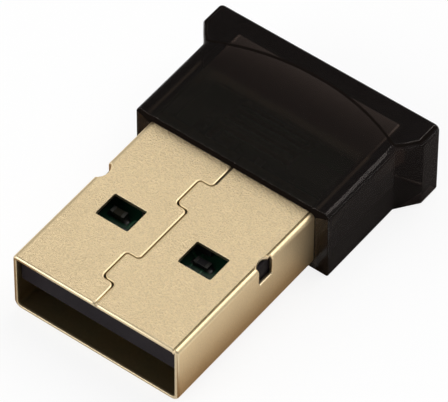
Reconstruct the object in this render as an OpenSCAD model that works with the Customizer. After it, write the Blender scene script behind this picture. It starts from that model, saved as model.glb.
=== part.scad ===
// Miniature USB wireless adapter. A folded sheet shell forms the plug. A plastic insert
// and a printed circuit board fill its upper half, and the board runs back into a hollow
// translucent housing that ends in a flared flange.
// The origin is the centre of the plug's mouth. +Y runs from the mouth to the flange,
// +Z is the side with the folded seam, and +X is to the right seen from the mouth.

/* [Plug shell] */
// Outside width of the shell
shell_w = 12; // [11.8:0.1:12.4]
// Outside height of the shell
shell_h = 4.5; // [4.4:0.1:4.8]
// Length of the shell in front of the housing
shell_reach = 12.95; // [12.2:0.05:14]
// Length of the shell that is held inside the housing's lip
shell_grip = 1; // [0.6:0.1:1.4]
// Thickness of the sheet
sheet_t = 0.3; // [0.25:0.05:0.35]
// Outside radius of the two bends beside the seam
upper_bend_r = 0.3; // [0.2:0.05:0.6]
// Outside radius of the two bends on the far side
lower_bend_r = 0.55; // [0.4:0.05:0.8]
// Chamfer round the outside of the mouth
mouth_chamfer = 0.1; // [0.05:0.05:0.2]
// Width of the crease line pressed beside each upper bend
crease_w = 0.1; // [0.06:0.02:0.16]
// Depth of the crease line
crease_depth = 0.05; // [0.02:0.01:0.1]

/* [Folded seam] */
// Open width of the seam
seam_gap = 0.07; // [0.04:0.01:0.12]
// Distance from the mouth to the first locking tab
seam_tab_front = 1.92; // [1.2:0.02:2.4]
// Length of each locking tab along the seam
seam_tab_l = 2.28; // [1.6:0.02:2.6]
// Distance from one locking tab to the next
seam_tab_pitch = 6.9; // [6:0.05:7.4]
// How far each locking tab reaches sideways
seam_tab_reach = 0.92; // [0.7:0.02:1.2]
// Radius of the corners of the locking tabs
seam_tab_r = 0.25; // [0.15:0.05:0.35]

/* [Latch windows and bend notches] */
// Width of each latch window
window_w = 2.35; // [2.2:0.05:2.8]
// Length of each latch window
window_l = 1.9; // [1.8:0.1:2.3]
// Distance from the mouth to the latch windows
window_front = 5.4; // [5:0.1:5.6]
// Distance between the centres of the two windows in a row
window_spacing = 6; // [5.6:0.1:6.2]
// Distance from the mouth to the notch in each upper bend
notch_front = 7.7; // [7.5:0.1:8]
// Length of each notch
notch_l = 1.25; // [0.9:0.05:1.5]
// How far each notch runs down the side wall
notch_drop = 1.45; // [1:0.05:1.8]
// How far each notch bites into the seam face
notch_bite = 0.5; // [0.36:0.02:0.6]
// Depth of the arc at the inner end of the bite
notch_arc_depth = 0.28; // [0.15:0.01:0.34]

/* [Insert] */
// Setback of the insert from the mouth
insert_setback = 0.4; // [0.2:0.05:0.8]
// Thickness of the bar across the front of the insert
insert_bar_t = 1; // [0.7:0.1:1.3]
// Width of the insert's side rails beside the board
insert_rail_w = 0.63; // [0.5:0.01:0.8]
// Overhang of the rails above the board's edges
insert_lip_w = 0.3; // [0.2:0.05:0.5]
// Length of the block at the back of the insert
insert_block_l = 2.7; // [2.4:0.1:3]
// Length of the side rails that runs back over the block
insert_rail_seat = 0.8; // [0.6:0.1:1]
// Height of the insert's lower face above the plug's centre
contact_level = 0.05; // [0:0.05:0.15]
// Clearance between the insert and the shell
insert_gap = 0.02; // [0.01:0.01:0.04]

/* [Circuit board] */
// Thickness of the board
board_t = 0.8; // [0.6:0.05:0.85]
// Clearance between the board's edges and what holds them
board_gap = 0.05; // [0.03:0.01:0.1]
// Clearance behind the board
board_end_gap = 1; // [0.6:0.1:1.2]
// Thickness of the contact pads
contact_t = 0.04; // [0.03:0.01:0.06]
// Width of each contact pad
contact_w = 1; // [0.8:0.05:1.2]
// Distance from the two outer contact pads to the insert's block
contact_outer_margin = 2.1; // [1.7:0.1:2.4]
// Distance from the two inner contact pads to the insert's block
contact_inner_margin = 3.1; // [2.7:0.1:3.4]
// Distance from the board's front edge to the contact pads
contact_front = 0.3; // [0.2:0.05:0.4]
// Distance between the centres of the two outer contact pads
contact_outer_spacing = 7; // [6.8:0.1:7.2]
// Distance between the centres of the two inner contact pads
contact_inner_spacing = 2; // [1.9:0.1:2.1]

/* [Electronic parts] */
// Side of the square controller chip
controller_side = 5; // [4:0.1:5.2]
// Height of the controller chip
controller_h = 0.85; // [0.7:0.05:0.9]
// Distance from the controller chip to the rear end of the shell
controller_setback = 1.3; // [1.1:0.05:1.5]
// Length of the crystal's can, across the board
crystal_l = 2.5; // [2:0.1:3.2]
// Width of the crystal's can
crystal_w = 2; // [1.6:0.1:2]
// Distance from the board's front edge to the crystal
crystal_setback = 0.9; // [0.8:0.1:1.2]
// Length of the small ceramic capacitors
capacitor_l = 1; // [0.8:0.05:1.1]
// Width and height of the small ceramic capacitors
capacitor_w = 0.5; // [0.4:0.05:0.6]
// Length of the resistors
resistor_l = 1; // [0.8:0.05:1.1]
// Width of the resistors
resistor_w = 0.5; // [0.4:0.05:0.6]
// Height of the resistors
resistor_h = 0.35; // [0.25:0.05:0.4]
// Clearance between the controller chip and the small parts in front of it
small_part_gap = 0.5; // [0.4:0.05:0.6]
// Distance between the middles of neighbouring small parts
small_part_pitch = 1.1; // [1.05:0.05:1.2]
// Clearance between the shell's rear end and the first parts behind it
rear_row_gap = 0.45; // [0.3:0.05:0.6]
// Distance from the side edge of the board to the regulator
board_margin = 0.3; // [0.2:0.05:0.4]
// Length of the regulator's body
regulator_l = 2.9; // [2.7:0.1:3]
// Width of the regulator's body
regulator_w = 1.6; // [1.4:0.1:1.7]
// Height of the regulator's body
regulator_h = 1; // [0.8:0.05:1.1]
// Width of the printed antenna's track
antenna_track_w = 0.42; // [0.3:0.02:0.5]
// Distance between the rows of the printed antenna
antenna_pitch = 0.95; // [0.8:0.05:1]
// Clearance between the printed antenna and the parts beside it
antenna_gap = 0.3; // [0.2:0.05:0.4]
// Rows in the printed antenna
antenna_rows = 5; // [3:2:5]

/* [Housing] */
// Width of the housing's body
housing_w = 14.1; // [13.8:0.1:14.8]
// Thickness of the housing above the shell
cover_top_t = 0.55; // [0.4:0.05:0.8]
// Thickness of the housing below the shell
cover_bottom_t = 0.35; // [0.3:0.05:0.6]
// Length of the straight part of the housing
body_l = 6.5; // [6:0.05:7]
// Length of the flare
flare_l = 1.4; // [1.1:0.05:1.7]
// How far the flare spreads on each side
flare_out = 1.05; // [0.8:0.05:1.3]
// Length of the flange behind the flare
flange_l = 1.7; // [1.4:0.1:2.2]
// How far the flange's face stands above the body's
flange_rise = 0.1; // [0.06:0.02:0.2]
// How far the edge of the raised flange bows to the rear at the middle
arch_bow = 1.75; // [1:0.05:2]
// Radius of the housing's upper long edges
housing_upper_r = 0.4; // [0.3:0.05:0.6]
// Radius of the housing's lower long edges
housing_lower_r = 0.12; // [0.08:0.02:0.2]
// Radius of the edges round the front face of the housing
housing_front_r = 0.22; // [0.1:0.02:0.26]
// Radius of the edges round the rear face of the flange
housing_rear_r = 0.24; // [0.1:0.02:0.28]
// Thickness of the rear wall
rear_wall_t = 1.1; // [0.8:0.1:1.4]
// Thickness of the wall above and below the cavity
cavity_skin_t = 0.6; // [0.5:0.05:0.7]
// Clearance between the shell and the housing's lip
lip_gap = 0.02; // [0.01:0.01:0.04]
// Width of the two ledges that carry the board
ledge_w = 0.9; // [0.7:0.1:1.2]

/* [Hidden] */

// Facets of a full circle, steps of a short arc and of a rounded edge, and how far a
// cutting solid runs past the face that it cuts
$fn = 48;
arc_steps = 6;
edge_steps = 3;
past = 0.5;

// The shell's length and the clear space inside it
shell_l = shell_reach + shell_grip;
inner_w = shell_w - 2 * sheet_t;
inner_top = shell_h / 2 - sheet_t;

// The board lies on the contact pads' backs, and the parts stand on its upper face
board_bottom = contact_level + contact_t;
board_top = board_bottom + board_t;
board_front = insert_setback + insert_bar_t;
insert_back = shell_l - insert_gap;
cavity_depth = insert_back - insert_block_l;
insert_end = cavity_depth + insert_rail_seat;
tongue_w = inner_w - 2 * (insert_gap + insert_rail_w + board_gap);
board_w = inner_w - 2 * board_gap;

// The housing's stations along Y and its upper and lower faces
flare_y = shell_reach + body_l;
flange_y = flare_y + flare_l;
rear_y = flange_y + flange_l;
flange_w = housing_w + 2 * flare_out;
housing_top = shell_h / 2 + cover_top_t;
housing_bottom = -shell_h / 2 - cover_bottom_t;
cavity_end = rear_y - rear_wall_t;
cavity_top = housing_top - cavity_skin_t;
cavity_bottom = housing_bottom + cavity_skin_t;
board_end = cavity_end - board_end_gap;

// The raised edge is an arc through the two corners where the flare starts
arch_r = (pow(housing_w / 2, 2) + pow(arch_bow, 2)) / (2 * arch_bow);
arch_centre_y = flare_y + arch_bow - arch_r;

// The arc at the end of each notch spans the notch's length
notch_arc_r = (pow(notch_l / 2, 2) + pow(notch_arc_depth, 2)) / (2 * notch_arc_depth);
notch_y = notch_front + notch_l / 2;

// Sizes of small parts that their neighbours keep clear of
filter_l = 1.6;
filter_w = 0.8;
led_base_l = 1.6;
regulator_lead_reach = 0.6;

// Middle of the controller chip, of the columns of small parts on its left and right, and
// of the row in front of it
controller_y = shell_l - controller_setback - controller_side / 2;
side_x = (controller_side / 2 + tongue_w / 2 - insert_lip_w) / 2;
front_row_y = controller_y - controller_side / 2 - small_part_gap - capacitor_w / 2;

// Middle of the columns behind the shell, and the front of the first row there
rear_x = board_w / 2 - board_margin - regulator_l / 2;
rear_row_y = shell_l + rear_row_gap;

// The antenna lies between these columns. Its rows are counted forwards from the board's
// rear edge. The first one stops short of the lamp, and the last one leads to the filter.
copper_t = 0.04;
antenna_rear_margin = 0.5;
antenna_lamp_margin = 0.9;
antenna_left = -rear_x + capacitor_w / 2 + antenna_gap;
antenna_right = rear_x - regulator_l / 2 - antenna_gap;
antenna_first_y = board_end - antenna_rear_margin;
antenna_last_y = antenna_first_y - (antenna_rows - 1) * antenna_pitch;

// Places of the parts on the board, as x, y and the turn in degrees
led_place = [antenna_right - led_base_l / 2, antenna_first_y, 0];
filter_place = [antenna_left + antenna_track_w + antenna_gap + filter_l / 2,
    rear_row_y + filter_w / 2, 0];
inductor_place = [(filter_place[0] + filter_l / 2 + rear_x - regulator_l / 2) / 2,
    filter_place[1], 0];
regulator_place = [rear_x, rear_row_y + regulator_lead_reach + regulator_w / 2, 0];
capacitor_places = [
    [-side_x, front_row_y, 0],
    [side_x, front_row_y - small_part_pitch, 0],
    [-side_x, controller_y - small_part_pitch, 90],
    [side_x, controller_y, 90],
    [-rear_x, rear_row_y + capacitor_l / 2, 90]];
resistor_places = [
    [side_x - small_part_pitch, front_row_y, 0],
    [-rear_x, rear_row_y + capacitor_l / 2 + 1.5 * small_part_pitch, 90]];
antenna_first_end = led_place[0] - led_base_l / 2 - antenna_lamp_margin;

// Points of an arc about a centre, from one angle to another
function arc(x, y, r, a0, a1) =
    [for (i = [0:arc_steps]) let (a = a0 + (a1 - a0) * i / arc_steps)
        [x + r * cos(a), y + r * sin(a)]];

// One edge of the seam, moved sideways by o. It steps round two locking tabs.
function seam_edge(o) = concat(
    [[o, -past]],
    [for (k = [0:1]) let (
        y0 = seam_tab_front + k * seam_tab_pitch,
        y1 = y0 + seam_tab_l,
        r = seam_tab_r,
        d = seam_tab_reach)
        each concat(
            arc(-r, y0 - r, r + o, 0, 90),
            arc(r - d, y0 + r, r - o, 270, 180),
            arc(r - d, y1 - r, r - o, 180, 90),
            arc(-r, y1 + r, r + o, 270, 360))],
    [[o, shell_l + past]]);

function reversed(list) = [for (i = [len(list) - 1:-1:0]) list[i]];

// Extrudes a section drawn in X and Z from y0 to y1
module along_y(y0, y1) {
    translate([0, y1, 0]) rotate([90, 0, 0]) linear_extrude(y1 - y0) children();
}

// The waste outside one rounded corner, drawn at the corner's own centre
module corner_waste(r) {
    difference() {
        square(r + past);
        circle(r);
    }
}

// A rectangle about the origin with its own radius for the upper and the lower corners
module two_radius_rectangle(w, h, r_upper, r_lower) {
    difference() {
        square([w, h], center = true);
        for (side = [0, 1]) mirror([side, 0]) {
            if (r_upper > 0)
                translate([w / 2 - r_upper, h / 2 - r_upper]) corner_waste(r_upper);
            if (r_lower > 0) mirror([0, 1])
                translate([w / 2 - r_lower, h / 2 - r_lower]) corner_waste(r_lower);
        }
    }
}

// The shell's section, made smaller all round by inset
module shell_section(inset) {
    two_radius_rectangle(shell_w - 2 * inset, shell_h - 2 * inset,
        upper_bend_r - inset, lower_bend_r - inset);
}

// A triangular strip that bevels one edge of the mouth, w long, at distance d from the axis
module mouth_bevel(w, d) {
    c = mouth_chamfer;
    translate([-w / 2 - past, 0, d]) rotate([90, 0, 90]) linear_extrude(w + 2 * past)
        polygon([[-past, past], [-past, -c - past], [c + past, past]]);
}

// One notch in the right-hand upper bend
module bend_notch() {
    side_x = shell_w / 2 - sheet_t;
    floor_z = shell_h / 2 - notch_drop;
    bite_x = shell_w / 2 - notch_bite;
    straight_x = bite_x + notch_arc_depth;
    translate([side_x - insert_gap, notch_front, floor_z])
        cube([sheet_t + past, notch_l, inner_top - floor_z + insert_gap]);
    translate([straight_x, notch_front, inner_top - insert_gap])
        cube([notch_bite + past, notch_l, sheet_t + past]);
    intersection() {
        translate([bite_x + notch_arc_r, notch_y, inner_top - insert_gap])
            cylinder(r = notch_arc_r, h = sheet_t + past);
        translate([bite_x - past, notch_front, inner_top - insert_gap])
            cube([past + notch_arc_depth + insert_gap, notch_l, sheet_t + past]);
    }
}

// Folded, gold plated sheet: four walls, the locked seam, four windows and two notches
module plug_shell() {
    color("#d8c08c") difference() {
        along_y(0, shell_l) difference() {
            shell_section(0);
            shell_section(sheet_t);
        }
        translate([0, 0, inner_top - sheet_t]) linear_extrude(3 * sheet_t)
            polygon(concat(seam_edge(-seam_gap / 2), reversed(seam_edge(seam_gap / 2))));
        for (side = [-1, 1])
            translate([side * window_spacing / 2 - window_w / 2, window_front, -shell_h])
                cube([window_w, window_l, 2 * shell_h]);
        for (side = [0, 1]) mirror([side, 0, 0]) {
            bend_notch();
            translate([shell_w / 2 - upper_bend_r - crease_w, -past, shell_h / 2 - crease_depth])
                cube([crease_w, shell_l + 2 * past, past]);
        }
        for (turn = [0, 180]) rotate([0, turn, 0]) {
            mouth_bevel(shell_w, shell_h / 2);
            rotate([0, 90, 0]) mouth_bevel(shell_h, shell_w / 2);
        }
    }
}

// Black moulded frame behind the mouth: a front bar, two rails rebated over the board's
// edges, and a block that closes the back of the plug's cavity under the board
module contact_insert() {
    color("#1d1b1e") intersection() {
        along_y(insert_setback, insert_back) shell_section(sheet_t + insert_gap);
        union() {
            difference() {
                translate([-inner_w, 0, contact_level]) cube([2 * inner_w, insert_end, shell_h]);
                translate([-tongue_w / 2 - board_gap, board_front, -past])
                    cube([tongue_w + 2 * board_gap, shell_l, board_top + past]);
                translate([-tongue_w / 2 + insert_lip_w, board_front + insert_lip_w, 0])
                    cube([tongue_w - 2 * insert_lip_w, shell_l, shell_h]);
            }
            translate([-inner_w, cavity_depth, -shell_h])
                cube([2 * inner_w, shell_l, shell_h + board_bottom]);
        }
    }
}

// Green board: a tongue between the insert's rails, wider behind them
module circuit_board() {
    shoulder_y = insert_end + board_gap;
    color("#1f6b3f") translate([0, 0, board_bottom]) linear_extrude(board_t) union() {
        translate([-tongue_w / 2, board_front]) square([tongue_w, shoulder_y - board_front + past]);
        translate([-board_w / 2, shoulder_y]) square([board_w, board_end - shoulder_y]);
    }
}

// A gold plated pad on the board's lower face, its middle at x. It stops at a margin in
// front of the insert's block.
module contact_pad(x, margin) {
    y = board_front + contact_front;
    color("#e0b84f") translate([x - contact_w / 2, y, contact_level])
        cube([contact_w, cavity_depth - margin - y, contact_t]);
}

module power_contact() contact_pad(-contact_outer_spacing / 2, contact_outer_margin);
module data_minus_contact() contact_pad(-contact_inner_spacing / 2, contact_inner_margin);
module data_plus_contact() contact_pad(contact_inner_spacing / 2, contact_inner_margin);
module ground_contact() contact_pad(contact_outer_spacing / 2, contact_outer_margin);

// Stands a part on the board's upper face, at place = [x, y, turn]
module on_board(place) {
    translate([place[0], place[1], board_top]) rotate([0, 0, place[2]]) children();
}

// A block centred in X and Y that stands on its own floor
module block(l, w, h) {
    translate([-l / 2, -w / 2, 0]) cube([l, w, h]);
}

// Flat package without leads: a moulded block on rows of terminals that just show
module controller_chip() {
    pins = 8;
    pin_w = 0.24;
    pin_l = 0.3;
    standoff = 0.05;
    pin_show = 0.02;
    pin_margin = 0.5;
    pin_pitch = (controller_side - 2 * pin_margin) / (pins - 1);
    color("#232326") on_board([0, controller_y, 0]) {
        translate([0, 0, standoff])
            block(controller_side, controller_side, controller_h - standoff);
        for (turn = [0:90:270]) rotate([0, 0, turn]) for (i = [0:pins - 1])
            translate([(i - (pins - 1) / 2) * pin_pitch,
                (controller_side - pin_l) / 2 + pin_show, 0]) block(pin_w, pin_l, 4 * standoff);
    }
}

// Ceramic tray with a slightly smaller metal lid
module crystal() {
    tray_h = 0.3;
    lid_h = 0.25;
    lid_margin = 0.15;
    color("#b9b9bd") on_board([0, board_front + crystal_setback + crystal_w / 2, 0]) {
        block(crystal_l, crystal_w, tray_h);
        block(crystal_l - 2 * lid_margin, crystal_w - 2 * lid_margin, tray_h + lid_h);
    }
}

// Moulded body with three bent leads on one side and two on the other
module voltage_regulator() {
    lead_w = 0.4;
    lead_t = 0.15;
    lead_pitch = 0.95;
    body_gap = 0.1;
    bend_z = 0.45;
    bend_y = regulator_w / 2 + 0.2;
    toe_y = regulator_w / 2 + regulator_lead_reach;
    color("#26262a") on_board(regulator_place) {
        translate([0, 0, body_gap]) block(regulator_l, regulator_w, regulator_h - body_gap);
        for (lead = [[-1, 0], [0, 0], [1, 0], [-1, 1], [1, 1]])
            mirror([0, lead[1], 0]) translate([lead[0] * lead_pitch - lead_w / 2, 0, 0])
                rotate([90, 0, 90]) linear_extrude(lead_w) polygon([
                    [0, bend_z], [bend_y, bend_z], [bend_y, lead_t], [toe_y, lead_t], [toe_y, 0],
                    [bend_y - lead_t, 0], [bend_y - lead_t, bend_z - lead_t],
                    [0, bend_z - lead_t]]);
    }
}

// A chip part: a block between two end caps that stand slightly proud of it
module capped_chip(l, w, h) {
    cap = l / 5;
    proud = 0.02;
    block(l, w - 2 * proud, h - proud);
    for (side = [-1, 1]) translate([side * (l - cap) / 2, 0, 0]) block(cap, w, h);
}

module rf_filter() {
    color("#c9c3b0") on_board(filter_place) capped_chip(filter_l, filter_w, 0.6);
}

module antenna_inductor() {
    color("#8f8f94") on_board(inductor_place) capped_chip(1, 0.5, 0.5);
}

module capacitor(place) {
    color("#a8865c") on_board(place) capped_chip(capacitor_l, capacitor_w, capacitor_w);
}

module capacitor_1() capacitor(capacitor_places[0]);
module capacitor_2() capacitor(capacitor_places[1]);
module capacitor_3() capacitor(capacitor_places[2]);
module capacitor_4() capacitor(capacitor_places[3]);
module capacitor_5() capacitor(capacitor_places[4]);

module resistor(place) {
    color("#2c2c30") on_board(place) capped_chip(resistor_l, resistor_w, resistor_h);
}

module resistor_1() resistor(resistor_places[0]);
module resistor_2() resistor(resistor_places[1]);

// A small lamp: a flat base with a clear block on it, shorter than the base
module status_led() {
    lens_l = 1;
    width = 0.8;
    base_h = 0.2;
    lens_h = 0.35;
    color("#d9ddd2") on_board(led_place) {
        block(led_base_l, width, base_h);
        block(lens_l, width, base_h + lens_h);
    }
}

// Copper track that runs to and fro in rows across the board, then down to the filter
module printed_antenna() {
    w = antenna_track_w;
    feed_y = filter_place[1] - w / 2;
    color("#b08d4a") translate([0, 0, board_top]) linear_extrude(copper_t) union() {
        for (k = [0:antenna_rows - 1])
            translate([antenna_left, antenna_first_y - k * antenna_pitch - w / 2])
                square([(k == 0 ? antenna_first_end : antenna_right) - antenna_left, w]);
        for (k = [0:antenna_rows - 2])
            translate([k % 2 == 0 ? antenna_left : antenna_right - w,
                antenna_first_y - (k + 1) * antenna_pitch - w / 2]) square([w, antenna_pitch + w]);
        translate([antenna_left, feed_y]) square([w, antenna_last_y - feed_y]);
        translate([antenna_left, feed_y])
            square([filter_place[0] - filter_l / 2 - antenna_left, w]);
    }
}

// Solder between the shell's side wall and the board, as a fillet strip on the right
module shell_solder() {
    leg = 0.45;
    front_margin = 0.4;
    rear_margin = 0.15;
    color("#c6c8cc") along_y(insert_end + front_margin, shell_l - rear_margin)
        translate([inner_w / 2, board_top]) polygon([[0, 0], [-leg, 0], [0, leg]]);
}

module right_shell_solder() shell_solder();
module left_shell_solder() mirror([1, 0, 0]) shell_solder();

// Section of the housing, w wide and up to z, made smaller all round by inset
module housing_section(w, z, inset) {
    translate([0, (z + housing_bottom) / 2])
        two_radius_rectangle(w - 2 * inset, z - housing_bottom - 2 * inset,
            housing_upper_r - inset, housing_lower_r - inset, $fn = 32);
}

// A smooth solid up to z through stations along Y, each given as [y, width, inset]
module housing_loft(stations, z) {
    slice = 0.001;
    hull() for (i = [0:len(stations) - 1]) {
        y = stations[i][0] - (i == 0 ? 0 : slice);
        along_y(y, y + slice) housing_section(stations[i][1], z, stations[i][2]);
    }
}

// Stations of an edge rounded to radius r, from the face at y inwards. Inwards is 1 for a
// front face and -1 for a rear one.
function rounded_edge(y, w, r, inwards) =
    [for (i = [0:edge_steps]) let (a = 90 * i / edge_steps)
        [y + inwards * r * (1 - cos(a)), w, r * (1 - sin(a))]];

// Outer form: a straight body, then a flare and a flange that stand a little higher.
// The front edge of the higher part is an arc.
module housing_form() {
    flange_top = housing_top + flange_rise;
    housing_loft(rounded_edge(shell_reach, housing_w, housing_front_r, 1), housing_top);
    along_y(shell_reach + housing_front_r, flare_y) housing_section(housing_w, housing_top, 0);
    difference() {
        union() {
            housing_loft([[flare_y, housing_w, 0], [flange_y, flange_w, 0]], flange_top);
            along_y(flange_y, rear_y - housing_rear_r) housing_section(flange_w, flange_top, 0);
            housing_loft(reversed(rounded_edge(rear_y, flange_w, housing_rear_r, -1)), flange_top);
        }
        translate([0, arch_centre_y, housing_top])
            cylinder(r = arch_r, h = flange_rise + past, $fn = 180);
    }
}

// Hollow one-piece moulding with the lip that grips the shell and two ledges for the board
module housing() {
    color("#2b2624") difference() {
        housing_form();
        along_y(shell_reach - past, shell_l) shell_section(-lip_gap);
        difference() {
            translate([-shell_w / 2, shell_l, cavity_bottom])
                cube([shell_w, cavity_end - shell_l, cavity_top - cavity_bottom]);
            for (side = [0, 1]) mirror([side, 0, 0])
                translate([shell_w / 2 - ledge_w, shell_l + lip_gap, cavity_bottom])
                    cube([ledge_w + past, rear_y, board_bottom - cavity_bottom]);
        }
    }
}

plug_shell();
contact_insert();
circuit_board();
power_contact();
data_minus_contact();
data_plus_contact();
ground_contact();
controller_chip();
crystal();
voltage_regulator();
rf_filter();
status_led();
printed_antenna();
antenna_inductor();
capacitor_1();
capacitor_2();
capacitor_3();
capacitor_4();
capacitor_5();
resistor_1();
resistor_2();
left_shell_solder();
right_shell_solder();
housing();
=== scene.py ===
import math
import bmesh
import bpy
from mathutils import Matrix, Vector, geometry


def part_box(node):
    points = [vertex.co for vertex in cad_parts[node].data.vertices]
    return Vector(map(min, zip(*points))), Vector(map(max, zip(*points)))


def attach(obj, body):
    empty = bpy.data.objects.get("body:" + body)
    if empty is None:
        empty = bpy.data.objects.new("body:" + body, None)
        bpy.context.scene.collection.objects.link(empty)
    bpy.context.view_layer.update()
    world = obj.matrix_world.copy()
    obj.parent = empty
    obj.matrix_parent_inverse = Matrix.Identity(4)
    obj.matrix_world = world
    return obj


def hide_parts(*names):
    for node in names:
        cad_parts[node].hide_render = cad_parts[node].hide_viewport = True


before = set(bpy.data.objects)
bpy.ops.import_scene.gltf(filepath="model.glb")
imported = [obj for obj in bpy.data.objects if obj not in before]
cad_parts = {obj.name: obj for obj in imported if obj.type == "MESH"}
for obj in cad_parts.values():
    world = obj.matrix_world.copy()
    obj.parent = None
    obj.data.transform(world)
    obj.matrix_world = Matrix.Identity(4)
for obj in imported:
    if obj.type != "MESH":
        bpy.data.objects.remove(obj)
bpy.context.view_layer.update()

# Circuit board
# A panel of green glass laminate, routed to a T. It slides in between the insert's rails
# and its wider rear half lies on two ledges in the housing.

MM = 0.001
SMOOTH_ANGLE = math.radians(35)


def round_edges(bm, edges, edge_r, steps):
    """Rounds edges, and marks the narrow faces that this makes."""
    strip = bm.faces.layers.int.get("strip") or bm.faces.layers.int.new("strip")
    made = bmesh.ops.bevel(
        bm, geom=edges, offset=edge_r, offset_type="OFFSET", segments=steps, profile=0.5,
        affect="EDGES", clamp_overlap=True)
    for face in made["faces"]:
        face[strip] = 1


def corner_normals(bm):
    """Normals that keep main faces even: where one meets a rounded edge, it sets the normal."""
    strip = bm.faces.layers.int.get("strip")
    normals = []
    for vert in bm.verts:
        faces = list(vert.link_faces)
        if strip:
            rank = min((face[strip] for face in faces), default=0)
            faces = [face for face in faces if face[strip] == rank]
        total = Vector((0, 0, 0))
        for face in faces:
            loop = next(loop for loop in face.loops if loop.vert == vert)
            total += face.normal * loop.calc_angle()
        normals.append(total.normalized())
    return normals


def solid_of(node, edge_r, steps=2):
    """The CAD solid of a node as a mesh in millimetres, with its sharp edges rounded."""
    bm = bmesh.new()
    bm.from_mesh(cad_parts[node].data)
    bmesh.ops.scale(bm, vec=(1 / MM, 1 / MM, 1 / MM), verts=bm.verts)
    bmesh.ops.remove_doubles(bm, verts=bm.verts, dist=0.0005)
    bmesh.ops.dissolve_limit(bm, angle_limit=math.radians(1), verts=bm.verts, edges=bm.edges)
    sharp = [e for e in bm.edges if e.is_manifold and e.calc_face_angle() > SMOOTH_ANGLE]
    round_edges(bm, sharp, edge_r, steps)
    return bm


def make_piece(name, bm, materials, slot, *nodes):
    """Turns a mesh drawn in millimetres into a piece that stands for CAD nodes."""
    bm.normal_update()
    normals = corner_normals(bm)
    bmesh.ops.scale(bm, vec=(MM, MM, MM), verts=bm.verts)
    mesh = bpy.data.meshes.new(name)
    bm.to_mesh(mesh)
    bm.free()
    for material in materials:
        mesh.materials.append(material)
    mesh.shade_smooth()
    mesh.normals_split_custom_set_from_vertices(normals)
    made = bpy.data.objects.new(name, mesh)
    bpy.context.scene.collection.objects.link(made)
    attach(made, "root")
    if nodes:
        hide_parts(*nodes)
    return made


def new_group(name, inputs, outputs):
    """A shader node group with named number sockets."""
    group = bpy.data.node_groups.new(name, "ShaderNodeTree")
    for label, value in inputs:
        socket = group.interface.new_socket(label, in_out="INPUT", socket_type="NodeSocketFloat")
        socket.default_value = value
    for label in outputs:
        group.interface.new_socket(label, in_out="OUTPUT", socket_type="NodeSocketFloat")
    return group, group.nodes.new("NodeGroupInput"), group.nodes.new("NodeGroupOutput")


def add(tree, kind, **settings):
    """Adds a node to a tree and gives it its settings."""
    node = tree.nodes.new(kind)
    for key, value in settings.items():
        setattr(node, key, value)
    return node


def math_node(tree, operation, first, second):
    """A Math node fed by sockets or plain numbers. Returns its output."""
    node = add(tree, "ShaderNodeMath", operation=operation)
    for socket, value in zip(node.inputs, (first, second)):
        if isinstance(value, (int, float)):
            socket.default_value = value
        else:
            tree.links.new(value, socket)
    return node.outputs[0]


def noise_node(tree, size, detail, roughness):
    """A noise in the object's own space. Size is a socket that gives its grain in millimetres."""
    place = add(tree, "ShaderNodeTexCoord")
    noise = add(tree, "ShaderNodeTexNoise")
    noise.inputs["Detail"].default_value = detail
    noise.inputs["Roughness"].default_value = roughness
    tree.links.new(place.outputs["Object"], noise.inputs["Vector"])
    tree.links.new(math_node(tree, "DIVIDE", 1 / MM, size), noise.inputs["Scale"])
    return noise.outputs["Fac"]


def swing(tree, value, contrast):
    """Turns a noise from 0 to 1 into a factor about 1 that swings by contrast."""
    centred = math_node(tree, "SUBTRACT", value, 0.5)
    spread = math_node(tree, "MULTIPLY", centred, math_node(tree, "MULTIPLY", contrast, 4))
    return math_node(tree, "ADD", spread, 1)


grain_group, entry, result = new_group(
    "grain",
    [("Grain Size", 0.1), ("Grain Contrast", 0.1), ("Patch Size", 2), ("Patch Contrast", 0.05)],
    ["Tone", "Height"])
fine = noise_node(grain_group, entry.outputs["Grain Size"], 3, 0.6)
broad = noise_node(grain_group, entry.outputs["Patch Size"], 2, 0.5)
fine_swing = swing(grain_group, fine, entry.outputs["Grain Contrast"])
broad_swing = swing(grain_group, broad, entry.outputs["Patch Contrast"])
tone = math_node(grain_group, "MULTIPLY", fine_swing, broad_swing)
grain_group.links.new(tone, result.inputs["Tone"])
grain_group.links.new(fine, result.inputs["Height"])

edge_group, entry, result = new_group("edge", [("Width", 0.05), ("Patch Size", 0.4)], ["Mask"])
rounded = add(edge_group, "ShaderNodeBevel", samples=4)
facing = add(edge_group, "ShaderNodeNewGeometry")
between = add(edge_group, "ShaderNodeVectorMath", operation="DOT_PRODUCT")
edge_group.links.new(
    math_node(edge_group, "MULTIPLY", entry.outputs["Width"], MM), rounded.inputs["Radius"])
edge_group.links.new(rounded.outputs["Normal"], between.inputs[0])
edge_group.links.new(facing.outputs["Normal"], between.inputs[1])
bent = math_node(edge_group, "SUBTRACT", 1, between.outputs["Value"])
broken = noise_node(edge_group, entry.outputs["Patch Size"], 2, 0.5)
mask = math_node(edge_group, "MULTIPLY", math_node(edge_group, "MULTIPLY", bent, 8), broken)
clamp = add(edge_group, "ShaderNodeClamp")
edge_group.links.new(mask, clamp.inputs["Value"])
edge_group.links.new(clamp.outputs["Result"], result.inputs["Mask"])


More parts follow.
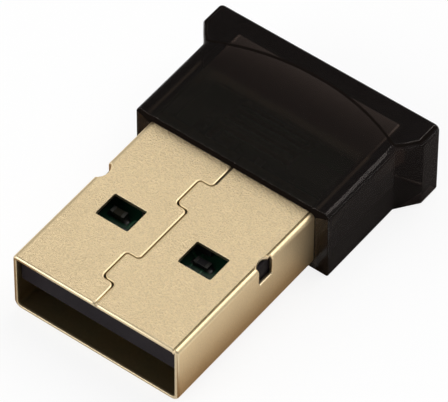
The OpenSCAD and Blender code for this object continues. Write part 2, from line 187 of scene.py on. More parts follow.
def surface(name, colour, roughness, metallic=0.0, grain=0.1, contrast=0.1, depth=0.001,
            patch=1.5, patch_contrast=0.04, edge=0.05, edge_colour=None):
    """A finish with grain, broad patches and edges of another tone. Lengths are in millimetres."""
    material = bpy.data.materials.new(name)
    material.use_nodes = True
    tree = material.node_tree
    shader = tree.nodes["Principled BSDF"]
    shader.inputs["Metallic"].default_value = metallic
    grains = add(tree, "ShaderNodeGroup", node_tree=grain_group)
    grains.inputs["Grain Size"].default_value = grain
    grains.inputs["Grain Contrast"].default_value = contrast
    grains.inputs["Patch Size"].default_value = patch
    grains.inputs["Patch Contrast"].default_value = patch_contrast
    edges = add(tree, "ShaderNodeGroup", node_tree=edge_group)
    edges.inputs["Width"].default_value = edge
    worn = add(tree, "ShaderNodeMix", data_type="RGBA")
    worn.inputs["A"].default_value = (*colour, 1)
    worn.inputs["B"].default_value = (*(edge_colour or colour), 1)
    toned = add(tree, "ShaderNodeVectorMath", operation="SCALE")
    rough = math_node(tree, "DIVIDE", roughness, grains.outputs["Tone"])
    bump = add(tree, "ShaderNodeBump")
    bump.inputs["Distance"].default_value = depth * MM
    tree.links.new(edges.outputs["Mask"], worn.inputs["Factor"])
    tree.links.new(worn.outputs["Result"], toned.inputs["Vector"])
    tree.links.new(grains.outputs["Tone"], toned.inputs["Scale"])
    tree.links.new(toned.outputs["Vector"], shader.inputs["Base Color"])
    tree.links.new(rough, shader.inputs["Roughness"])
    tree.links.new(grains.outputs["Height"], bump.inputs["Height"])
    tree.links.new(bump.outputs["Normal"], shader.inputs["Normal"])
    return material


board_mask = surface(
    "board_mask", (0.005, 0.03, 0.015), 0.35, grain=0.25, contrast=0.12, depth=0.002,
    patch=2.5, patch_contrast=0.1, edge=0.04, edge_colour=(0.05, 0.16, 0.07))
board_core = surface(
    "board_core", (0.3, 0.27, 0.14), 0.7, grain=0.08, contrast=0.3, depth=0.004)
bare_laminate = surface(
    "bare_laminate", (0.4, 0.36, 0.28), 0.45, grain=0.12, contrast=0.14, depth=0.002,
    patch=1.2, patch_contrast=0.08)
ground_right = 4.3
ground_rear = 19.7
board = solid_of("circuit_board", 0.04)
for place, normal in (((ground_right, 0, 0), (1, 0, 0)), ((0, ground_rear, 0), (0, 1, 0))):
    everything = board.verts[:] + board.edges[:] + board.faces[:]
    bmesh.ops.bisect_plane(board, geom=everything, plane_co=place, plane_no=normal)
wide_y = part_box("plug_shell")[1].y / MM
for face in board.faces:
    spot = face.calc_center_median()
    bare = spot.y > ground_rear or (spot.x > ground_right and spot.y > wide_y)
    if abs(face.normal.z) > 0.5:
        face.material_index = 2 if bare and face.normal.z > 0 else 0
    else:
        face.material_index = 1
make_piece("board_panel", board, [board_mask, board_core, bare_laminate], "board_laminate",
           "circuit_board")

# Tracks and plated holes
# Copper left by the etch, which stands a little proud under the green mask, and the tinned
# rings of the holes that join the two faces of the board.

board_low, board_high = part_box("circuit_board")
board_top = board_high.z / MM
track_h = 0.02
track_w = 0.14
hole_r = 0.15
ring_r = 0.27
hole_steps = 20


def ribbon(bm, points, width, low, high):
    """A flat track with mitred corners through points, from one height to another."""
    rows = []
    for i, point in enumerate(points):
        before = Vector(points[max(i - 1, 0)])
        after = Vector(points[min(i + 1, len(points) - 1)])
        here = Vector(point)
        way_in = (here - before).normalized() if i else (after - here).normalized()
        way_out = (after - here).normalized() if i < len(points) - 1 else way_in
        along = (way_in + way_out).normalized()
        reach = width / 2 / max(along.dot(way_in), 0.5)
        side = Vector((-along.y, along.x)) * reach
        corners = [(here + side, low), (here + side, high), (here - side, high), (here - side, low)]
        rows.append([bm.verts.new((p.x, p.y, z)) for p, z in corners])
    for first, second in zip(rows, rows[1:]):
        for k in range(4):
            bm.faces.new([first[k], second[k], second[(k + 1) % 4], first[(k + 1) % 4]])
    bm.faces.new(rows[0])
    bm.faces.new(reversed(rows[-1]))


def plated_hole(bm, x, y, low, high):
    """A tinned ring round a hole, closed by a sunk floor."""
    profile = [(ring_r, low), (ring_r, high), (hole_r, high), (hole_r, low)]
    rows = []
    for i in range(hole_steps):
        turn = 2 * math.pi * i / hole_steps
        rows.append([
            bm.verts.new((x + r * math.cos(turn), y + r * math.sin(turn), z)) for r, z in profile])
    for i in range(hole_steps):
        first, second = rows[i], rows[(i + 1) % hole_steps]
        for k in range(4):
            bm.faces.new([first[k], second[k], second[(k + 1) % 4], first[(k + 1) % 4]])


chip_low, chip_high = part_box("controller_chip")
chip_front = chip_low.y / MM
chip_rear = chip_high.y / MM
chip_half = chip_high.x / MM
pin_pitch = 0.571
pin_rows = [(k - 3.5) * pin_pitch for k in range(8)]
front_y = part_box("capacitor_1")[0].y / MM
tracks = bmesh.new()
for k, x in enumerate(pin_rows):
    spread = x * 1.35
    stop = front_y - 0.5 - 0.45 * (k % 3)
    ribbon(tracks, [(x, chip_front + 0.1), (x, chip_front - 0.25),
                    (spread, chip_front - 0.45), (spread, stop)],
           track_w, board_top - track_h, board_top + track_h)
    ribbon(tracks, [(x, chip_rear - 0.1), (x, chip_rear + 0.3), (x * 1.2, chip_rear + 0.5)],
           track_w, board_top - track_h, board_top + track_h)
for side in (-1, 1):
    for k, y in enumerate(pin_rows[1:7]):
        y += (chip_front + chip_rear) / 2
        ribbon(tracks, [(side * (chip_half - 0.1), y), (side * (chip_half + 0.3), y),
                        (side * (chip_half + 0.45), y + 0.12)],
               track_w, board_top - track_h, board_top + track_h)
bmesh.ops.recalc_face_normals(tracks, faces=tracks.faces)
track_mask = surface(
    "track_mask", (0.014, 0.075, 0.034), 0.35, grain=0.2, contrast=0.08, depth=0.001,
    edge=0.03, edge_colour=(0.06, 0.22, 0.1))
make_piece("board_tracks", tracks, [track_mask], "board_laminate")

holes = bmesh.new()
for k, x in enumerate(pin_rows):
    stop = front_y - 0.5 - 0.45 * (k % 3)
    plated_hole(holes, x * 1.35, stop, board_top - track_h, board_top + 1.5 * track_h)
bmesh.ops.recalc_face_normals(holes, faces=holes.faces)
# Solder far darker than bright tin: painted shade, for the joints that lie in the shade of the shell
# and housing.
shaded_solder = surface(
    "shaded_solder", (0.12, 0.12, 0.12), 0.5, metallic=1.0, grain=0.15, contrast=0.12,
    depth=0.006, patch=0.6, patch_contrast=0.1)
make_piece("plated_holes", holes, [shaded_solder], "solder")

# Contact pads
# Four gold plated strips on the board's lower face, two long and two short. They touch
# the socket's springs.

plated_contact = surface(
    "plated_contact", (0.8, 0.6, 0.24), 0.2, metallic=1.0, grain=0.06, contrast=0.06,
    depth=0.001, edge=0.03, edge_colour=(0.95, 0.8, 0.45))
for label in ("power", "data_minus", "data_plus", "ground"):
    node = label + "_contact"
    make_piece(label + "_pad", solid_of(node, 0.012), [plated_contact], "contact_gold", node)

# Capacitors, resistors, filter and inductor
# Small ceramic blocks with tinned ends, set by machine and soldered at both ends. The
# solder climbs each end in a hollow fillet.

cap_share = 0.2
fillet_steps = 6


def solder_fillet(bm, middle, out, width, reach, height, floor):
    """A hollow fillet of solder from a part's end, at middle, outwards along the board."""
    across = Vector((-out.y, out.x))
    rows = []
    for i in range(fillet_steps + 1):
        turn = math.pi / 2 * i / fillet_steps
        away = reach * (1 - math.sin(turn))
        rise = height * (1 - math.cos(turn))
        half = width / 2 * (0.86 + 0.14 * math.sin(turn))
        rows.append([
            bm.verts.new((*(middle + out * away + across * half * side), floor + rise))
            for side in (-1, 1)])
    back = [bm.verts.new((*(middle - out * 0.03 + across * width / 2 * side), z))
            for side, z in ((-1, floor + height), (1, floor + height), (1, floor), (-1, floor))]
    made = []
    for first, second in zip(rows, rows[1:]):
        made.append(bm.faces.new([first[0], first[1], second[1], second[0]]))
    left = [row[0] for row in rows]
    right = [row[1] for row in rows]
    made.append(bm.faces.new([rows[-1][0], rows[-1][1], back[1], back[0]]))
    made.append(bm.faces.new([rows[0][1], rows[0][0], back[3], back[2]]))
    made.append(bm.faces.new(back))
    made.append(bm.faces.new(left + [back[0], back[3]]))
    made.append(bm.faces.new(right[::-1] + [back[2], back[1]]))
    bmesh.ops.recalc_face_normals(bm, faces=made)
    return made


def soldered_chip(name, node, body, slot):
    """A block with two tinned ends, standing in its solder."""
    low, high = (Vector(corner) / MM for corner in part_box(node))
    size = high - low
    out = Vector((1, 0)) if size.x > size.y else Vector((0, 1))
    length = max(size.x, size.y)
    width = min(size.x, size.y)
    middle = ((low + high) / 2).xy
    bm = solid_of(node, 0.035, 3)
    for face in bm.faces:
        away = abs((face.calc_center_median().xy - middle).dot(out))
        face.material_index = 1 if away > length * (0.5 - cap_share) - 0.01 else 0
    for side in (-1, 1):
        end = middle + out * (side * (length / 2 - 0.02))
        fillet = solder_fillet(
            bm, end, out * side, width, 0.6 * width, 0.65 * size.z, low.z)
        for face in fillet:
            face.material_index = 2
    make_piece(name, bm, [body, shaded_tinned_end, shaded_solder], slot, node)


# Tinned ends and tan ceramic coloured near black, far darker than their own colours: painted shade
# for the parts that lie under the shell.
shaded_tinned_end = surface(
    "shaded_tinned_end", (0.06, 0.06, 0.055), 0.6, metallic=1.0, grain=0.07, contrast=0.12,
    depth=0.003, edge=0.04, edge_colour=(0.1, 0.1, 0.09))
tan_ceramic = surface(
    "tan_ceramic", (0.018, 0.016, 0.011), 0.7, grain=0.05, contrast=0.16, depth=0.002,
    edge=0.04, edge_colour=(0.03, 0.026, 0.018))
pale_ceramic = surface(
    "pale_ceramic", (0.58, 0.55, 0.46), 0.5, grain=0.06, contrast=0.08, depth=0.002)
grey_ferrite = surface(
    "grey_ferrite", (0.28, 0.28, 0.3), 0.6, grain=0.05, contrast=0.2, depth=0.003)
black_glaze = surface(
    "black_glaze", (0.015, 0.015, 0.017), 0.35, grain=0.15, contrast=0.1, depth=0.001,
    edge=0.04, edge_colour=(0.1, 0.1, 0.09))
for body in (tan_ceramic, black_glaze):
    body.node_tree.nodes["Principled BSDF"].inputs["Specular IOR Level"].default_value = 0.1
for k in range(1, 6):
    soldered_chip(f"ceramic_capacitor_{k}", f"capacitor_{k}", tan_ceramic, "tan_ceramic")
for k in range(1, 3):
    soldered_chip(f"chip_resistor_{k}", f"resistor_{k}", black_glaze, "resistor_glaze")
soldered_chip("signal_filter", "rf_filter", pale_ceramic, "pale_ceramic")
soldered_chip("chip_inductor", "antenna_inductor", grey_ferrite, "grey_ceramic")

# Controller chip and regulator
# Epoxy mouldings on tinned copper frames. The controller's terminals end flush with its
# sides, and the regulator stands on five bent leads.

epoxy = surface(
    "epoxy", (0.028, 0.028, 0.032), 0.62, grain=0.05, contrast=0.22, depth=0.004,
    patch=1.2, patch_contrast=0.06, edge=0.06, edge_colour=(0.06, 0.06, 0.065))
chip = solid_of("controller_chip", 0.03)
body_floor = board_top + 0.25
for face in chip.faces:
    spot = face.calc_center_median()
    side = max(abs(spot.x), abs(spot.y - (chip_front + chip_rear) / 2))
    face.material_index = 1 if spot.z < body_floor and side > chip_half - 0.021 else 0
make_piece("controller_package", chip, [epoxy, shaded_tinned_end], "chip_moulding", "controller_chip")

regulator_low, regulator_high = (Vector(corner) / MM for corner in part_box("voltage_regulator"))
regulator_middle = (regulator_low + regulator_high) / 2
lead_reach = 0.6
regulator = solid_of("voltage_regulator", 0.03)
for face in regulator.faces:
    away = abs(face.calc_center_median().y - regulator_middle.y)
    half = (regulator_high.y - regulator_low.y) / 2 - lead_reach
    face.material_index = 1 if away > half + 0.005 else 0
make_piece("regulator_package", regulator, [epoxy, shaded_tinned_end], "chip_moulding",
           "voltage_regulator")

# Crystal
# A ceramic tray with a thin metal lid welded over it.

crystal_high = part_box("crystal")[1].z / MM
lid_h = 0.25
crystal_can = solid_of("crystal", 0.06, 3)
for face in crystal_can.faces:
    face.material_index = 0 if face.calc_center_median().z > crystal_high - lid_h + 0.01 else 1
crystal_metal = surface(
    "crystal_metal", (0.6, 0.6, 0.61), 0.32, metallic=1.0, grain=0.08, contrast=0.08,
    depth=0.002, edge=0.05, edge_colour=(0.75, 0.75, 0.76))
make_piece("crystal_can", crystal_can, [crystal_metal, pale_ceramic], "crystal_lid", "crystal")

# Lamp
# A small light emitting diode: clear resin cast on a pale base with tinned ends.

resin = surface(
    "resin", (0.7, 0.74, 0.66), 0.12, grain=0.3, contrast=0.04, depth=0.001, edge=0.04,
    edge_colour=(0.8, 0.84, 0.76))
resin.node_tree.nodes["Principled BSDF"].inputs["Transmission Weight"].default_value = 0.6
lamp = solid_of("status_led", 0.05, 3)
lamp_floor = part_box("status_led")[0].z / MM
for face in lamp.faces:
    face.material_index = 0 if face.calc_center_median().z > lamp_floor + 0.21 else 1
make_piece("lamp_lens", lamp, [resin, pale_ceramic], "clear_resin", "status_led")

# Printed antenna
# A copper track that runs to and fro across the rear of the board under the mask.

masked_copper = surface(
    "masked_copper", (0.92, 0.77, 0.62), 0.4, metallic=1, grain=0.12, contrast=0.1,
    depth=0.002, edge=0.03, edge_colour=(0.45, 0.4, 0.33))
make_piece("antenna_track", solid_of("printed_antenna", 0.012), [masked_copper],
           "copper_track", "printed_antenna")

# Contact insert
# A black moulding that fills the upper half of the plug: a bar behind the mouth, two rails
# that hold the board's edges, and the block that closes the back of the cavity.

insert_black = surface(
    "insert_black", (0.014, 0.011, 0.013), 0.55, grain=0.07, contrast=0.18, depth=0.003,
    patch=1.5, patch_contrast=0.08, edge=0.08, edge_colour=(0.026, 0.022, 0.025))
insert_shader = insert_black.node_tree.nodes["Principled BSDF"]
insert_shader.inputs["IOR"].default_value = 1.2
insert_shader.inputs["Specular IOR Level"].default_value = 0.3
make_piece("insert_frame", solid_of("contact_insert", 0.05, 3), [insert_black],
           "black_plastic", "contact_insert")

# Plug shell
# A sheet blanked with its windows and notches, folded round the insert and locked along
# the middle by two tabs, then gold plated all over with a fine matt grain.

shell_low, shell_high = (Vector(corner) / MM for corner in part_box("plug_shell"))
shell_half_w = shell_high.x
shell_half_h = shell_high.z
shell_l = shell_high.y
sheet_t = 0.28
upper_r = 0.3
lower_r = 0.55
bend_steps = 8
seam_gap = 0.015
tab_front = 1.92
tab_l = 2.28
tab_pitch = 6.9
tab_reach = 0.92
tab_r = 0.25
open_r = 0.4
window_w = 2.35
window_l = 1.9
window_front = 5.4
window_x = 3.0
window_r = 0.12
notch_front = 7.7
notch_l = 1.25
notch_drop = 1.45
notch_bite = 0.5
notch_arc_depth = 0.28
notch_r = 0.12
crease_x = shell_half_w - upper_r - 0.05
crease_w = 0.2
crease_depth = 0.1
corner_steps = 6
edge_rim_r = 0.14
seam_rim_r = 0.125
notch_rim_r = 0.09
hole_rim_r = 0.035
rim_inner_r = 0.03
rim_steps = 4
corner_l = 0.3

# Stretches of the half section from the seam to the middle of the far face, measured
# along the outer surface
top_flat = shell_half_w - upper_r
upper_bend = upper_r * math.pi / 2
side_flat = 2 * shell_half_h - upper_r - lower_r
lower_bend = lower_r * math.pi / 2
half_sheet = top_flat + upper_bend + side_flat + lower_bend + shell_half_w - lower_r
whole_sheet = 2 * half_sheet


def fold(u, inset):
    """Where a point u along the sheet comes to lie in X and Z, and how deep the crease is."""
    side = 1 if u <= half_sheet else -1
    s = u if u <= half_sheet else whole_sheet - u
    if s < top_flat:
        away = abs(s - crease_x) / (crease_w / 2)
        dip = crease_depth * (1 + math.cos(math.pi * away)) / 2 if away < 1 and side > 0 else 0
        return side * s, shell_half_h - inset - dip
    s -= top_flat
    if s < upper_bend:
        turn = s / upper_r
        r = upper_r - inset
        return (side * (top_flat + r * math.sin(turn)),
                shell_half_h - upper_r + r * math.cos(turn))
    s -= upper_bend
    if s < side_flat:
        return side * (shell_half_w - inset), shell_half_h - upper_r - s
    s -= side_flat
    if s < lower_bend:
        turn = s / lower_r
        r = lower_r - inset
        return (side * (shell_half_w - lower_r + r * math.cos(turn)),
                lower_r - shell_half_h - r * math.sin(turn))
    s -= lower_bend
    return side * (shell_half_w - lower_r - s), inset - shell_half_h


def arc(x, y, r, start, end):
    """Points of an arc about a centre, from one angle to another in degrees."""
    turns = [math.radians(start + (end - start) * i / corner_steps) for i in range(corner_steps + 1)]
    return [(x + r * math.cos(t), y + r * math.sin(t)) for t in turns]


def seam_edge(o):
    """One edge of the seam, moved sideways by o, from the mouth to the rear end."""
    points = [(o, edge_rim_r), (o, edge_rim_r + corner_l)]
    neck_r = open_r if o < 0 else tab_r
    front_r = open_r if o > 0 else tab_r
    for y in (tab_front, tab_front + tab_pitch):
        rear = y + tab_l
        points += arc(-neck_r, y - neck_r, neck_r + o, 0, 90)
        points += arc(front_r - tab_reach, y + front_r, front_r - o, 270, 180)
        points += arc(tab_r - tab_reach, rear - tab_r, tab_r - o, 180, 90)
        points += arc(-tab_r, rear + tab_r, tab_r + o, 270, 360)
    return points + [(o, shell_l - edge_rim_r)]


def window(middle):
    """A window's outline with small round corners."""
    x, y, r = window_w / 2 - window_r, window_l / 2 - window_r, window_r + hole_rim_r
    centre_y = window_front + window_l / 2
    return [(middle + px, centre_y + py) for px, py in
            arc(x, y, r, 0, 90) + arc(-x, y, r, 90, 180)
            + arc(-x, -y, r, 180, 270) + arc(x, -y, r, 270, 360)]


def notch(mirrored):
    """A notch round one upper bend. Its inner end is an arc and its outer end is square."""
    floor = top_flat + upper_bend + notch_drop - upper_r
    bite = shell_half_w - notch_bite
    r = ((notch_l / 2) ** 2 + notch_arc_depth ** 2) / (2 * notch_arc_depth)
    centre_y = notch_front + notch_l / 2
    half_l = notch_l / 2 + notch_rim_r
    span = math.degrees(math.asin(half_l / (r + notch_rim_r)))
    points = arc(bite + r, centre_y, r + notch_rim_r, 180 - span, 180 + span)
    corner = notch_r + notch_rim_r
    points += arc(floor - notch_r, notch_front + notch_r, corner, 270, 360)
    points += arc(floor - notch_r, notch_front + notch_l - notch_r, corner, 0, 90)
    if mirrored:
        points = [(whole_sheet - u, y) for u, y in points]
    return points


def inside(point, outline):
    """True if a point lies in a closed outline."""
    x, y = point
    hit = False
    for (x0, y0), (x1, y1) in zip(outline, outline[1:] + outline[:1]):
        if (y0 > y) != (y1 > y) and x < (x1 - x0) * (y - y0) / (y1 - y0) + x0:
            hit = not hit
    return hit


right_edge = seam_edge(seam_gap / 2 + seam_rim_r)
left_edge = [(whole_sheet + x, y) for x, y in seam_edge(-seam_gap / 2 - seam_rim_r)]
blank = right_edge + left_edge[::-1]
cuts = [window(u) for u in (window_x, half_sheet - window_x, half_sheet + window_x,
                            whole_sheet - window_x)]
cuts += [notch(False), notch(True)]
bend_lines = [crease_x + crease_w / 2 * k / 3 for k in range(-3, 4)]
bend_lines += [top_flat + upper_bend * k / bend_steps for k in range(bend_steps + 1)]
bend_lines += [top_flat + upper_bend + side_flat + lower_bend * k / bend_steps
               for k in range(bend_steps + 1)]
bend_lines += [whole_sheet - u for u in bend_lines]
points = []
edges = []
for outline in [blank] + cuts:
    first = len(points)
    points += outline
    edges += [(first + i, first + (i + 1) % len(outline)) for i in range(len(outline))]
for u in bend_lines:
    edges.append((len(points), len(points) + 1))
    points += [(u, edge_rim_r), (u, shell_l - edge_rim_r)]
for u in (corner_l, whole_sheet - corner_l):
    edges.append((len(points), len(points) + 1))
    points += [(u, edge_rim_r), (u, edge_rim_r + corner_l)]
# Behind this line the shell runs into the housing, and its faces there are painted in shade.
hidden_y = 12.97
edges.append((len(points), len(points) + 1))
points += [(-1, hidden_y), (whole_sheet + 1, hidden_y)]
flat_points, flat_edges, flat_faces, *_ = geometry.delaunay_2d_cdt(
    [Vector(p) for p in points], edges, [], 0, 1e-6)
shell = bmesh.new()
outer = []
inner = []
for u, y in flat_points:
    x, z = fold(u, 0)
    outer.append(shell.verts.new((x, y, z)))
    x, z = fold(u, sheet_t)
    inner.append(shell.verts.new((x, y, z)))
strip = shell.faces.layers.int.new("strip")


def curved(u):
    """True in a bend or a crease."""
    s = min(u, whole_sheet - u)
    lower = top_flat + upper_bend + side_flat
    return (abs(s - crease_x) < crease_w / 2 or top_flat < s < top_flat + upper_bend
            or lower < s < lower + lower_bend)


sides = {}
for face in flat_faces:
    centre = sum((Vector(flat_points[i]) for i in face), Vector((0, 0))) / len(face)
    if not inside(centre, blank) or any(inside(centre, cut) for cut in cuts):
        continue
    sheet_faces = [shell.faces.new([outer[i] for i in face]),
                   shell.faces.new([inner[i] for i in reversed(face)])]
    away = min(centre.x, whole_sheet - centre.x)
    # Where the shell runs into the housing its outer faces take a dark gold: painted shade.
    if centre.y > hidden_y:
        outer_finish = 2
    # The crease's middle takes a dark gold: painted shade of the groove, with the grime it holds.
    elif abs(centre.x - crease_x) < crease_w / 3:
        outer_finish = 5
    # The bends and sides take a gold a little darker than the top's: painted shade.
    elif crease_x < away < top_flat + upper_bend + side_flat + lower_bend:
        outer_finish = 4
    else:
        outer_finish = 0
    sheet_faces[0].material_index = outer_finish
    # The inner faces take a darker, smoother gold: painted shade inside the plug.
    sheet_faces[1].material_index = 3
    for made in sheet_faces:
        made[strip] = int(curved(centre.x))
    for a, b in zip(face, face[1:] + face[:1]):
        sides[(a, b)] = sides.get((a, b), 0) + 1
rims = {a: b for a, b in sides if (b, a) not in sides}
before = {b: a for a, b in rims.items()}


def rim_radius(i):
    """Radius of the rim's outer edge at a point of an outline."""
    u, y = flat_points[i]
    s = min(u, whole_sheet - u)
    if y < 0.5 or y > shell_l - 0.5:
        return edge_rim_r
    if s < tab_reach + 0.3:
        return seam_rim_r
    if abs(s - shell_half_w) < 1.9 and y > notch_front - 0.3:
        return notch_rim_r
    return hole_rim_r


def rim_row(i):
    """Points of the rim's rounded profile at a point of the outline, from outer to inner."""
    here, last, following = (Vector(flat_points[k]) for k in (i, before[i], rims[i]))
    way_in = (here - last).normalized()
    way_out = (following - here).normalized()
    along = (way_in + way_out).normalized()
    outwards = Vector((along.y, -along.x)) / max(along.dot(way_in), 0.5)
    r = rim_radius(i)
    row = [outer[i]]
    for k in range(1, 2 * rim_steps):
        turn = math.pi / 2 * min(k, 2 * rim_steps - k) / rim_steps
        if k <= rim_steps:
            depth = r * (1 - math.cos(turn))
        else:
            depth = sheet_t - rim_inner_r * (1 - math.cos(turn))
        u, y = here + outwards * r * math.sin(turn)
        x, z = fold(u, depth)
        row.append(shell.verts.new((x, y, z)))
        if k == rim_steps:
            x, z = fold(u, sheet_t - rim_inner_r)
            row.append(shell.verts.new((x, y, z)))
    return row + [inner[i]]


rows = {i: rim_row(i) for i in rims}
for a, b in rims.items():
    for k in range(len(rows[a]) - 1):
        rim = shell.faces.new([rows[b][k], rows[a][k], rows[a][k + 1], rows[b][k + 1]])
        # Rims inside the housing take the same dark gold: painted shade.
        if flat_points[a].y > hidden_y:
            rim.material_index = 2
        else:
            rim.material_index = int(k >= rim_steps / 2)
            if rim_radius(a) == edge_rim_r:
                rim.material_index = 1
            # The seam's rims take the darker golds of the sides and of the inner faces: painted
            # shade.
            elif rim_radius(a) == seam_rim_r:
                rim.material_index = 4 if k < rim_steps / 2 else 3
        rim[strip] = 2
bmesh.ops.delete(shell, geom=[v for v in shell.verts if not v.link_faces], context="VERTS")
bmesh.ops.recalc_face_normals(shell, faces=shell.faces)
gold_plate = surface(
    "gold_plate", (0.93, 0.745, 0.465), 0.5, metallic=1.0, grain=0.1, contrast=0.13,
    depth=0.12, patch=3.0, patch_contrast=0.02, edge=0.05, edge_colour=(0.9, 0.78, 0.52))
smooth_gold = surface(
    "smooth_gold", (0.76, 0.62, 0.4), 0.34, metallic=1.0, grain=0.2, contrast=0.05,
    depth=0.002, patch=2.0, patch_contrast=0.03, edge=0.05, edge_colour=(0.9, 0.78, 0.52))
# A dark gold: painted shade for the shell where it runs into the housing.
painted_shade_gold = surface(
    "painted_shade_gold", (0.1, 0.075, 0.045), 0.6, metallic=0.5, grain=0.2, contrast=0.3,
    depth=0.01, patch=1.0, patch_contrast=0.2)
# A darker, smoother gold for the inner faces: the smoothness is the sheet's own, the darkness is
# painted shade.
inner_gold_shade = surface(
    "inner_gold_shade", (0.4, 0.3, 0.16), 0.38, metallic=1.0, grain=0.2, contrast=0.08, depth=0.003)
# A gold a little darker than the top's, with a fainter grain, for the bends and sides: painted
# shade.
side_gold_shade = surface(
    "side_gold_shade", (0.86, 0.685, 0.42), 0.46, metallic=1.0, grain=0.12, contrast=0.07,
    depth=0.006, patch=2.5, patch_contrast=0.03)
# A dark gold for the crease's middle: painted shade of the groove, with grime.
groove_grime_and_shade = surface(
    "groove_grime_and_shade", (0.3, 0.23, 0.12), 0.5, metallic=0.7, grain=0.1, contrast=0.4, depth=0.01)
shell_finishes = [gold_plate, smooth_gold, painted_shade_gold, inner_gold_shade, side_gold_shade, groove_grime_and_shade]
make_piece("folded_shell", shell, shell_finishes, "gold_plate", "plug_shell")

# Solder of the shell
# A run of solder on each side that joins the shell's wall to the board's copper.

solder_rows = 12


def solder_run(name, node):
    """A hollow run of solder in the corner of the board and the shell's wall."""
    low, high = (Vector(corner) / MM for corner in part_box(node))
    wall = high.x if high.x > 0 else low.x
    inwards = -1 if high.x > 0 else 1
    leg_x = high.x - low.x
    leg_z = high.z - low.z
    bm = bmesh.new()
    rows = []
    for i in range(solder_rows + 1):
        share = i / solder_rows
        size = 0.9 + 0.1 * math.sin(9 * share)
        if i in (0, solder_rows):
            size = 0.55
        y = low.y + (high.y - low.y) * share
        row = [(wall, low.z)]
        for k in range(fillet_steps + 1):
            turn = math.pi / 2 * k / fillet_steps
            row.append((wall + inwards * leg_x * size * (1 - math.sin(turn)),
                        low.z + leg_z * size * (1 - math.cos(turn))))
        rows.append([bm.verts.new((x, y, z)) for x, z in row])
    count = len(rows[0])
    for first, second in zip(rows, rows[1:]):
        for k in range(count):
            bm.faces.new([first[k], second[k], second[(k + 1) % count], first[(k + 1) % count]])
    bm.faces.new(rows[0])
    bm.faces.new(reversed(rows[-1]))
    bmesh.ops.recalc_face_normals(bm, faces=bm.faces)
    make_piece(name, bm, [shaded_solder], "solder", node)


solder_run("left_solder_run", "left_shell_solder")
solder_run("right_solder_run", "right_shell_solder")

# Housing
# One hollow moulding in smoke brown plastic with a satin face. Its lip grips the shell,
# and behind the body it flares out to a flange whose raised edge is an arc.

housing_low, housing_high = (Vector(corner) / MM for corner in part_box("housing"))
body_half_w = 7.05
flange_half_w = housing_high.x
bottom_z = housing_low.z
body_top = 2.8
flange_top = housing_high.z
front_y = housing_low.y
rear_y = housing_high.y
flare_y = 19.45
flange_y = 20.85
arch_bow = 1.75
arch_r = (body_half_w ** 2 + arch_bow ** 2) / (2 * arch_bow)
arch_centre_y = flare_y + arch_bow - arch_r
step_l = 0.09
upper_edge_r = 0.4
lower_edge_r = 0.14
front_edge_r = 0.1
rear_edge_r = 0.24
lip_half_w = 6.02
lip_half_h = 2.27
cavity_half_w = 6.0
cavity_top = 2.2
cavity_bottom = -2.0
cavity_front = 13.95
cavity_rear = 21.45
ledge_x = 5.1
ledge_z = 0.09
top_points = 28
side_points = 8


def section(half_w, low, high, r_high, r_low, ledge=None):
    """Points round a rounded rectangle, from the lower middle by the right side to the left."""
    right = [(half_w * k / 4 * 0.9, low) for k in range(4)]
    right += [(x, z) for x, z in arc(half_w - r_low, low + r_low, r_low, 270, 360)]
    for k in range(1, side_points):
        share = k / side_points
        right.append((half_w, low + r_low + (high - low - r_low - r_high) * share))
    right += [(x, z) for x, z in arc(half_w - r_high, high - r_high, r_high, 0, 90)]
    if ledge:
        edge_x, edge_z = ledge
        for i, (x, z) in enumerate(right):
            if z < edge_z - 0.2 or x < edge_x:
                right[i] = (min(x, edge_x), z)
        below = [i for i, (x, z) in enumerate(right) if x == edge_x]
        right[below[-1]] = (edge_x, edge_z)
        right[below[-1] + 1] = (half_w, edge_z)
    top = [((half_w - r_high) * (1 - 2 * k / top_points), high) for k in range(1, top_points)]
    left = [(-x, z) for x, z in right[:0:-1]]
    return right + top + left


def ring(bm, points, y):
    """Places a section at y, which is a number or a function of a point's place."""
    return [bm.verts.new((x, y(x, z) if callable(y) else y, z)) for x, z in points]


def bridge(bm, first, second):
    """Joins two rings of as many points by a band of faces."""
    count = len(first)
    for k in range(count):
        bm.faces.new([first[k], first[(k + 1) % count], second[(k + 1) % count], second[k]])


def arch_shift(x, z):
    """How far the raised edge lies behind the start of the flare, by place."""
    if z < body_top - upper_edge_r:
        return 0
    return arch_centre_y + math.sqrt(arch_r ** 2 - min(abs(x), body_half_w) ** 2) - flare_y


housing = bmesh.new()
rings = []
for i in range(5):
    turn = math.pi / 2 * i / 4
    inset = front_edge_r * (1 - math.sin(turn))
    rings.append(ring(housing, section(
        body_half_w - inset, bottom_z + inset, body_top - inset,
        max(upper_edge_r - inset, 0.05), max(lower_edge_r - inset, 0.02)),
        front_y + front_edge_r * (1 - math.cos(turn))))
body_section = section(body_half_w, bottom_z, body_top, upper_edge_r, lower_edge_r)
for share in (0.25, 0.5, 0.75):
    rings.append(ring(housing, body_section, front_y + (flare_y - front_y) * share))
rings.append(ring(housing, body_section, lambda x, z: flare_y - 0.02 + arch_shift(x, z)))
halfway = section(
    body_half_w + 0.015, bottom_z, (body_top + flange_top) / 2, upper_edge_r, lower_edge_r)
rings.append(ring(
    housing, halfway, lambda x, z: flare_y + arch_shift(x, z) + (step_l / 2 if z > 2.3 else 0)))
raised = section(body_half_w + 0.03, bottom_z, flange_top, upper_edge_r, lower_edge_r)
rings.append(ring(
    housing, raised, lambda x, z: flare_y + 0.02 + arch_shift(x, z) + (step_l if z > 2.3 else 0)))
flange_line = 0.03
for share in (0.5, 0.985, 1.0):
    half = body_half_w + (flange_half_w - body_half_w) * share
    flared = section(half, bottom_z, flange_top, upper_edge_r, lower_edge_r)
    rings.append(ring(
        housing, flared,
        lambda x, z, share=share: flare_y + (flange_y - flare_y) * share
        + flange_line * (share == 1.0)
        + (max(arch_shift(x, z), 0) * (1 - 0.35 * share) * (z > 2.3))))
